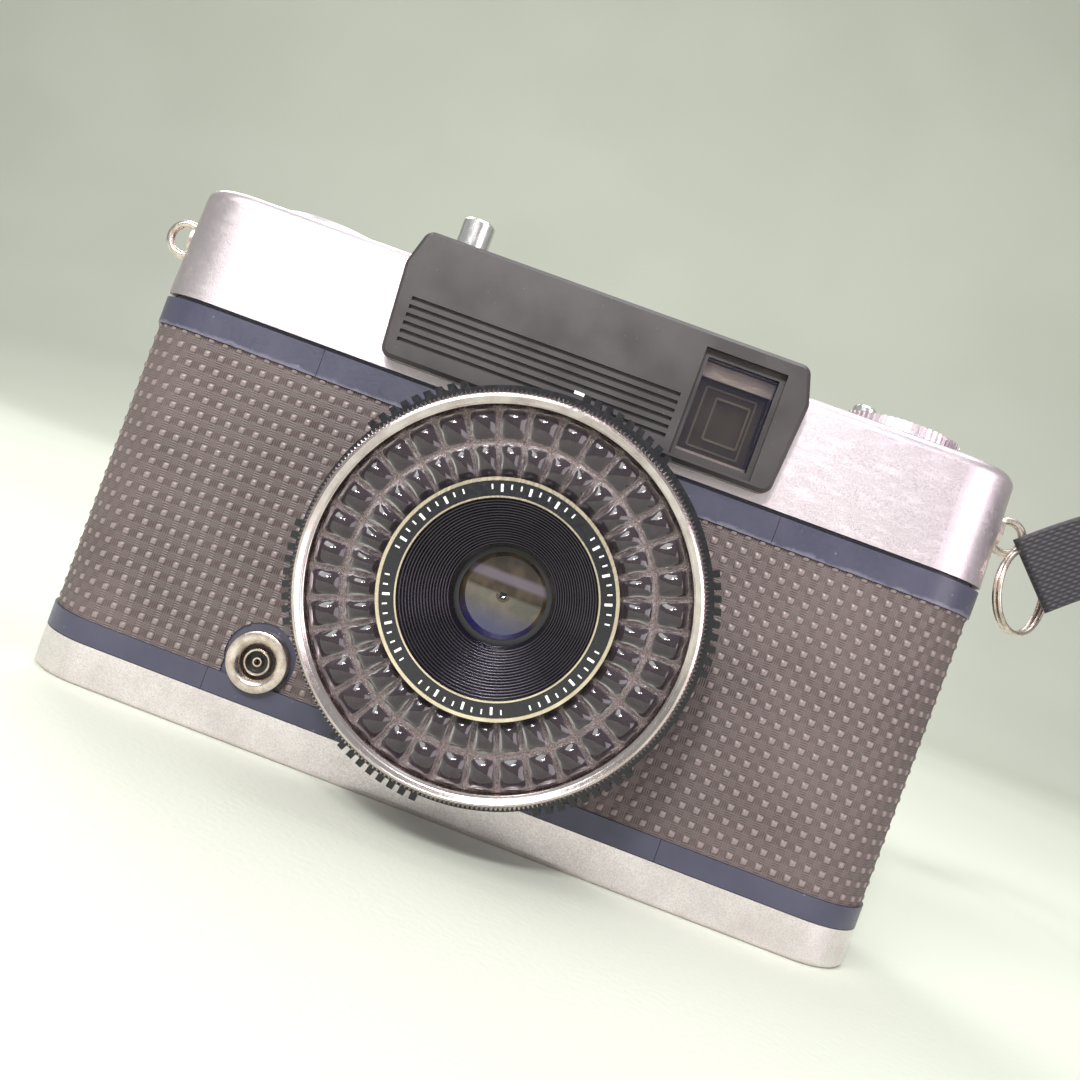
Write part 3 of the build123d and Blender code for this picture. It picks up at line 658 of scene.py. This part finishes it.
# ---- lens: each outline lists (radius, distance in front of the body, depth of any teeth) ----
def make_filter_ring():
    """The knurled front ring: coined rim, satin face, polished bevel and a fine thread inside."""
    outline = [(21.0, 13.2), (23.0, 13.2), (23.1, 13.4, 0.05), (23.12, 14.6, 0.3), (23.12, 16.3, 0.3)]
    outline += [(23.04, 16.7, 0.34), (22.56, 17.5, 0.3), (22.5, 17.5), (22.44, 17.36), (22.4, 17.6)]
    outline += [(22.14, 17.7), (22.06, 17.67), (21.76, 17.25)]
    thread_pitch = 0.22
    for index in range(4):
        outline += [(21.62, 17.2 - index * thread_pitch), (21.74, 17.09 - index * thread_pitch)]
    outline += [(21.62, 16.3), (21.5, 16.2), (21.45, 14.55), (21.0, 14.5)]
    lathe("filter_ring", outline, "body", "chrome", steps=1680, teeth=280, instead_of=["filter_ring"])


def make_cell_window():
    """Two rings of small pillow lenses in one clear moulding."""
    columns, across, along = 36, 10, 10
    rows = [(13.5, 17.35), (17.45, 21.4)]
    underside, groove, pillow_height = 14.5, 15.2, 0.85
    angle = np.arange(columns * across) * 2 * math.pi / (columns * across)
    share = (np.arange(columns * across) % across) / across
    arch = 1 - abs(2 * share - 1) ** 2.2
    radius, crown = [], []
    for low, high in rows:
        for step in range(along + 1):
            place = step / along
            radius.append(low + (high - low) * place)
            crown.append(1 - abs(2 * place - 1) ** 2.4)
    radius = np.array(radius)
    height = np.array(crown)[:, None] * arch[None, :]
    top = around_lens(radius[:, None], angle[None, :], groove + pillow_height * height)
    floor = np.full((2, len(angle)), underside)
    under = around_lens(radius[[-1, 0], None], angle[None, :], floor)
    points = np.concatenate([top, under]).reshape(-1, 3)
    faces = grid_faces(len(radius) + 2, len(angle), close_rows=True, close_columns=True)
    window = piece("cell_window", points, faces, "body", "clear_plastic",
                   instead_of=["cell_window"], sharp=70)
    relief = np.concatenate([height, np.zeros((2, len(angle)))])
    mark_relief(window, relief.ravel())


def make_name_ring():
    """Gloss black ring edged with two fine gilt lines and marked with plain ticks."""
    outline = [(13.4, 13.2), (13.4, 16.72), (13.3, 16.85), (11.2, 16.85), (11.1, 16.75), (11.1, 15.9)]
    outline += [(12.8, 15.9), (12.8, 13.2)]
    lathe("name_ring", outline, "body", "black_paint", instead_of=["name_ring"])
    for name, inner, outer in (("gilt_line_outer", 12.96, 13.42), ("gilt_line_inner", 11.08, 11.34)):
        line = [(inner, 16.8), (inner + 0.04, 16.93), (outer - 0.04, 16.93), (outer, 16.8)]
        lathe(name, line, "body", "black_paint", finish=champagne)
    points = []
    places, middle, face = 72, 12.2, 16.87
    for index in range(places):
        if index % 12 in (0, 11):
            continue
        long_tick = index % 3 == 0
        angle = 2 * math.pi * (index + 0.5) / places
        half_turn = 0.012 if long_tick else 0.007
        inner, outer = (11.75, 12.6) if long_tick else (12.05, 12.6)
        for radius, turn in ((inner, -1), (outer, -1), (outer, 1), (inner, 1)):
            corner = angle + turn * half_turn * middle / radius
            points.append(around_lens(radius, np.array(corner), face))
    piece("name_ring_ticks", points, loose_quads(points), "body", "black_paint", finish=paint_white)


def make_cone():
    """The ridged funnel between the name ring and the front glass."""
    ridges = 17
    start, end = (11.0, 16.4), (6.2, 9.3)
    outline = [(11.1, 16.6)]
    for index in range(ridges):
        for share, lift in ((0.12, 0.0), (0.35, 0.16), (0.62, 0.2), (0.88, 0.06)):
            place = (index + share) / ridges
            radius = start[0] + (end[0] - start[0]) * place
            out = start[1] + (end[1] - start[1]) * place
            outline.append((radius - lift * 0.4, out + lift))
    outline += [(5.85, 8.9), (5.8, 8.6), (6.3, 8.6), (11.1, 15.5)]
    lathe("cone_baffle", outline, "body", "matt_black", steps=256, finish=ridged_black(),
          instead_of=["cone_baffle"], sharp=80)


def make_focus_mark():
    """A short white index stroke on the rim of the focusing ring."""
    angle = math.radians(89.0) + np.linspace(-0.024, 0.024, 7)
    rows = [(24.55, 12.84), (24.93, 12.7), (24.95, 12.1)]
    points = np.concatenate([around_lens(radius, angle, out) for radius, out in rows])
    faces = grid_faces(len(rows), len(angle))
    piece("focus_mark", points, faces, "focus_ring", "black_paint", finish=paint_white)


def make_terminal():
    """The flash terminal's nickel shell: a worn face, a bright bevel and a dark bore."""
    outline = [(3.95, -1.9), (3.95, 0.95), (3.88, 1.12), (3.7, 1.2), (2.95, 1.22), (2.75, 1.15)]
    outline += [(2.3, 0.7), (2.2, 0.55), (2.2, -1.3), (2.2, -1.9)]
    spot = (flash_x, flash_z)
    lathe("flash_shell", outline, "body", "nickel", centre=spot, instead_of=["flash_shell"])
    sleeve = [(1.4, -0.3), (1.7, -0.3), (1.7, 0.82), (1.62, 0.9), (1.48, 0.9), (1.4, 0.82)]
    pin = [(0.35, -0.3), (0.65, -0.3), (0.65, 0.6), (0.58, 0.7), (0.42, 0.7), (0.35, 0.6)]
    contacts = lathe("flash_contacts", sleeve, "body", "nickel", steps=96, centre=spot)
    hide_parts("flash_contacts")
    lathe("flash_pin", pin, "body", "nickel", steps=64, centre=spot)


# ---- strap ----
def tube(name, line, radius, sides, body, slot, **more):
    """A round wire along a line of points, with its ends closed."""
    line = np.asarray(line, float)
    along = np.gradient(line, axis=0)
    along /= np.linalg.norm(along, axis=1)[:, None]
    side = np.zeros_like(line)
    side[0] = np.cross(along[0], (0.3, 0.2, 1.0))
    side[0] /= np.linalg.norm(side[0])
    for index in range(1, len(line)):
        across = side[index - 1] - along[index] * (side[index - 1] @ along[index])
        side[index] = across / np.linalg.norm(across)
    other = np.cross(along, side)
    turn = np.arange(sides) * 2 * math.pi / sides
    circle = side[:, None, :] * np.cos(turn)[None, :, None]
    circle = circle + other[:, None, :] * np.sin(turn)[None, :, None]
    points = (line[:, None, :] + radius * circle).reshape(-1, 3)
    faces = [list(face) for face in grid_faces(len(line), sides, close_columns=True)]
    faces.append(list(range(sides))[::-1])
    faces.append(list(range(len(points) - sides, len(points))))
    return piece(name, points, faces, body, slot, **more)


def make_split_ring():
    """Two turns of round wire, sprung together."""
    ring_radius, wire, half_gap = 5.5, 0.33, 0.34
    low, high = box_of("split_ring")
    centre = (np.array(low) + np.array(high)) / 2
    normal = np.array([0.6, -0.79, 0.12])
    normal /= np.linalg.norm(normal)
    side = np.cross((0, 0, 1.0), normal)
    side /= np.linalg.norm(side)
    other = np.cross(normal, side)
    turn = np.linspace(0, 4 * math.pi - 0.25, 180) + 2.2
    middle = (turn - turn[0]) / (4 * math.pi) - 0.5
    step = np.tanh(9 * middle) * half_gap
    line = centre + ring_radius * (np.cos(turn)[:, None] * side + np.sin(turn)[:, None] * other)
    line = line + step[:, None] * normal
    return tube("split_ring", line, wire, 16, "body", "nickel", instead_of=["split_ring"])


strap_route = [
    (62.5, -6.5, 55.5),
    (70.5, -7.0, 63.0),
    (81.0, -9.5, 67.5),
    (91.5, -14.0, 67.0),
    (99.5, -20.5, 61.0),
    (103.5, -27.5, 51.0),
    (104.5, -33.5, 40.0),
    (104.0, -38.0, 28.5),
    (102.5, -42.0, 17.5),
    (99.5, -48.0, 8.5),
    (94.5, -56.0, 3.2),
    (87.0, -64.5, 1.0),
    (77.5, -71.0, 1.0),
]
strap_facing = [
    (0.0, -1.0, 0.0),
    (0.0, -1.0, -0.1),
    (0.1, -0.9, -0.5),
    (0.0, -0.6, -0.9),
    (-0.5, -0.4, -0.8),
    (-0.9, -0.4, -0.3),
    (-0.95, -0.4, 0.0),
    (-0.9, -0.45, 0.1),
    (-0.85, -0.5, 0.2),
    (-0.7, -0.5, 0.5),
    (-0.3, -0.35, 0.9),
    (0.0, 0.0, 1.0),
    (0.0, 0.0, 1.0),
]
strap_width = 10.4
strap_thickness = 1.7
strap_step = 0.15
strap_lanes = 22
thread_rise = 0.16
weave_pitch = 1.25
flat_share = 0.93
rounded_share = 0.07


def strap_line():
    """The strap's centre line: a smooth spline on the route's points."""
    curve = bpy.data.curves.new("strap_line", "CURVE")
    curve.dimensions = "3D"
    spline = curve.splines.new("NURBS")
    spline.points.add(len(strap_route) - 1)
    for point, place in zip(spline.points, strap_route):
        point.co = (*(Vector(place) * MM), 1)
    spline.order_u = 3
    spline.use_endpoint_u = True
    spline.resolution_u = 40
    holder = bpy.data.objects.new("strap_line", curve)
    mesh = bpy.data.meshes.new_from_object(holder)
    line = np.array([vertex.co for vertex in mesh.vertices]) / MM
    bpy.data.objects.remove(holder)
    bpy.data.meshes.remove(mesh)
    return line


def evenly(line, step):
    """The same line with points a step apart, and how far along each one is."""
    run = np.concatenate([[0], np.cumsum(np.linalg.norm(np.diff(line, axis=0), axis=1))])
    places = np.linspace(0, run[-1], int(round(run[-1] / step)) + 1)
    return np.stack([np.interp(places, run, line[:, axis]) for axis in range(3)], axis=1), places


def make_strap(ring):
    """Doubled black webbing as a flat woven band along the line; the real strap is folded round the
    split ring, this one has no fold.
    """
    line, run = evenly(strap_line(), strap_step)
    length = run[-1]
    stops = np.linspace(0, length, len(strap_facing))
    facing = np.array(strap_facing)
    face = np.stack([np.interp(run, stops, facing[:, axis]) for axis in range(3)], axis=1)
    along = np.gradient(line, axis=0)
    along /= np.linalg.norm(along, axis=1)[:, None]
    face -= along * np.sum(face * along, axis=1)[:, None]
    face /= np.linalg.norm(face, axis=1)[:, None]
    across = np.cross(along, face)
    half, layer = strap_width / 2, strap_thickness / 2
    ends = np.minimum(run, length - run)
    nose = np.sqrt(np.clip(1 - (1 - np.clip(ends / layer, 0, 1)) ** 2, 0.02, 1))
    width, out, weave = [], [], []
    steps = strap_lanes * 4
    for index in range(steps + 1):
        share = 2 * index / steps - 1
        lane = index * strap_lanes / steps
        parity = math.floor(lane) % 2
        crown = abs(math.sin(math.pi * lane))
        float_wave = 0.5 + 0.5 * np.cos(2 * math.pi * run / weave_pitch + math.pi * parity)
        lift = thread_rise * crown * (0.25 + 0.75 * float_wave)
        past_flat = max(0.0, (abs(share) - flat_share) / rounded_share)
        edge = math.sqrt(max(0.0, 1 - past_flat ** 2))
        width.append(share * half)
        out.append(nose * (layer * (0.25 + 0.75 * edge) - 0.12) + lift * edge * nose)
        weave.append(lift / thread_rise * edge)
    width, out, weave = np.array(width), np.array(out), np.array(weave)
    upper = line[None] + across[None] * width[:, None, None] + face[None] * out[:, :, None]
    lower = line[None] + across[None] * width[::-1, None, None] - face[None] * out[::-1, :, None]
    shell = np.concatenate([upper, lower]).transpose(1, 0, 2)
    relief = np.concatenate([weave, weave[::-1]]).T
    ring_size = shell.shape[1]
    points = shell.reshape(-1, 3)
    faces = [list(quad) for quad in grid_faces(len(line), ring_size, close_columns=True)]
    faces.append(list(range(ring_size))[::-1])
    faces.append(list(range(len(points) - ring_size, len(points))))
    band = piece("strap", points, faces, "body", "webbing", instead_of=["strap"], sharp=80)
    mark_relief(band, relief.ravel())


# ---- finder, counter and release spring ----
def slab(name, x, y, z, body, slot, **more):
    """A plain box piece from its limits along each axis."""
    points = [(i, j, k) for i in x for j in y for k in z]
    faces = [(0, 1, 3, 2), (4, 6, 7, 5), (0, 4, 5, 1), (2, 3, 7, 6), (0, 2, 6, 4), (1, 5, 7, 3)]
    return piece(name, points, faces, body, slot, **more)


def make_finder_inside():
    """The frame plates seen through the finder window, and a dark glass block behind them: painted shade
    that keeps the finder's inside dark.
    """
    block_depth, block_gap, block_half = 0.5, 5.0, 4.4
    plate_depth, bar = 0.6, 0.14
    low, high = box_of("finder_window")
    middle_x, middle_z = (low[0] + high[0]) / 2, (low[2] + high[2]) / 2 - 0.6
    # painted shade: a dark brownish glass block stands in for the shade inside the finder
    finder_shade = smoked_glass("smoked_glass", (0.1, 0.085, 0.065), (0.19, 0.165, 0.13))
    rim = smoked_glass("smoked_rim", (0.24, 0.21, 0.16), (0.36, 0.31, 0.24))
    near = low[1] + block_gap
    across = (middle_x - block_half, middle_x + block_half)
    slab("finder_shade_block", across, (near, near + block_depth), (55.0, 64.2), "body", "glass",
         finish=finder_shade)
    for index, (half_x, half_z) in enumerate(((3.3, 3.9), (2.2, 2.7))):
        front = near - 0.7 - 0.9 * index
        deep = (front, front + plate_depth)
        plate_x = middle_x + 0.5 * index
        across = (plate_x - half_x, plate_x + half_x)
        tall = (middle_z - half_z, middle_z + half_z)
        for side in (-1, 1):
            edge_x = plate_x + side * half_x
            edge_z = middle_z + side * half_z
            name = "finder_frame_" + str(2 * index + (side + 1) // 2)
            upright = (edge_x - bar, edge_x + bar)
            level = (edge_z - bar, edge_z + bar)
            slab(name + "_upright", upright, deep, tall, "body", "glass", finish=rim)
            slab(name + "_bar", across, deep, level, "body", "glass", finish=rim)


def make_counter_ticks():
    """Plain frame marks round the counter dial, with a longer one at every fourth."""
    count, inner_long, inner_short, outer, half_tick = 36, 5.3, 6.3, 7.3, 0.12
    low, high = box_of("counter_dial")
    middle = np.array([(low[0] + high[0]) / 2, (low[1] + high[1]) / 2, high[2] - 0.48])
    points = []
    for index in range(count):
        angle = 2 * math.pi * index / count
        outward = np.array([math.cos(angle), math.sin(angle), 0])
        sideways = np.array([-math.sin(angle), math.cos(angle), 0]) * half_tick
        inner = inner_long if index % 4 == 0 else inner_short
        for radius, side in ((inner, -1), (outer, -1), (outer, 1), (inner, 1)):
            points.append(middle + outward * radius + sideways * side)
    piece("counter_ticks", points, loose_quads(points), "counter", "satin_silver",
          finish=finishes["black_paint"])


def make_release_spring():
    """The coil under the shutter button, built at its full length; on the real camera it shortens as the
    button goes down.
    """
    turns, wire, travel = 11, 0.25, 2.2
    low, high = box_of("release_spring")
    radius = (high[0] - low[0]) / 2 - wire
    share = np.linspace(0, 1, 360)
    angle = share * turns * 2 * math.pi
    x = (low[0] + high[0]) / 2 + radius * np.cos(angle)
    y = (low[1] + high[1]) / 2 + radius * np.sin(angle)
    z = low[2] + wire + share * (high[2] - low[2] - 2 * wire)
    line = np.stack([x, y, z], axis=1)
    spring = tube("release_spring", line, wire, 10, "body", "steel", instead_of=["release_spring"])
    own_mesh(spring)


make_finder_inside()
make_counter_ticks()
make_strap(make_split_ring())
make_release_spring()
make_coverings()
make_filter_ring()
make_cell_window()
make_name_ring()
make_cone()
make_focus_mark()
make_terminal()


# ---- stage ----
def make_floor():
    """A pale floor that sweeps up behind the object. Places here are in metres."""
    near, far, bend, top, half, steps = -2.5, 0.55, 0.5, 2.2, 3.0, 24
    profile = [(near, 0.0), (far, 0.0)]
    for index in range(1, steps + 1):
        turn = math.pi / 2 * index / steps
        profile.append((far + bend * math.sin(turn), bend * (1 - math.cos(turn))))
    profile.append((far + bend, top))
    points = [(side * half, y, z) for y, z in profile for side in (-1, 1)]
    faces = grid_faces(len(profile), 2)
    mesh = bpy.data.meshes.new("floor")
    mesh.from_pydata(points, [], faces.tolist())
    mesh.shade_smooth()
    f = Finish("sage_paper", (0.6, 0.64, 0.54), roughness=0.7)
    fibres = f.noise(0.9, detail=5.0)
    clouds = f.noise(140.0, detail=1.0)
    f.set("Base Color", f.mix(f.levels(clouds, 0.35, 0.65), (0.6, 0.62, 0.54), (0.63, 0.65, 0.57)))
    f.set("Normal", f.bump(fibres, 0.12, 0.5))
    mesh.materials.append(f.material)
    floor = bpy.data.objects.new("floor", mesh)
    bpy.context.scene.collection.objects.link(floor)


def area_light(name, place, target, size, power, color=(1, 1, 1)):
    """A square lamp, or a round one if small, that faces target. Places are in metres."""
    data = bpy.data.lights.new(name, "AREA")
    data.shape = "DISK" if size < 0.1 else "SQUARE"
    data.size = size
    data.energy = power
    data.color = color
    light = bpy.data.objects.new(name, data)
    bpy.context.scene.collection.objects.link(light)
    light.location = place
    light.rotation_mode = "QUATERNION"
    light.rotation_quaternion = (Vector(target) - Vector(place)).to_track_quat("-Z", "Y")


def make_lights():
    middle = (0, 0, 0.035)
    area_light("key", (-0.45, -0.75, 0.75), middle, 0.55, 7.4, (1.0, 0.99, 0.97))
    area_light("fill", (0.75, -0.6, 0.25), middle, 0.5, 3.4, (1.0, 0.9, 0.96))
    area_light("top", (0.1, 0.1, 0.9), middle, 0.6, 3.2, (0.97, 1.0, 1.0))
    area_light("back", (-0.3, 0.45, 0.5), middle, 0.3, 2)
    area_light("lamp", (-0.12, -0.5, 0.36), middle, 0.06, 1.8)
    area_light("lamp_two", (-0.02, -0.5, 0.4), middle, 0.04, 0.8)
    world = bpy.data.worlds.new("world")
    bpy.context.scene.world = world
    world.use_nodes = True
    sky = world.node_tree.nodes["Background"]
    sky.inputs["Color"].default_value = (0.78, 0.8, 0.78, 1)
    sky.inputs["Strength"].default_value = 0.55


def paint_cad_nodes():
    """Gives every CAD node its own finish, or else the finish of its slot."""
    for name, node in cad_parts.items():
        for holder in node.material_slots:
            holder.material = own_finishes.get(name) or finishes[holder.material.name]


paint_cad_nodes()
make_floor()
make_lights()
bpy.context.scene.view_settings.view_transform = "Standard"
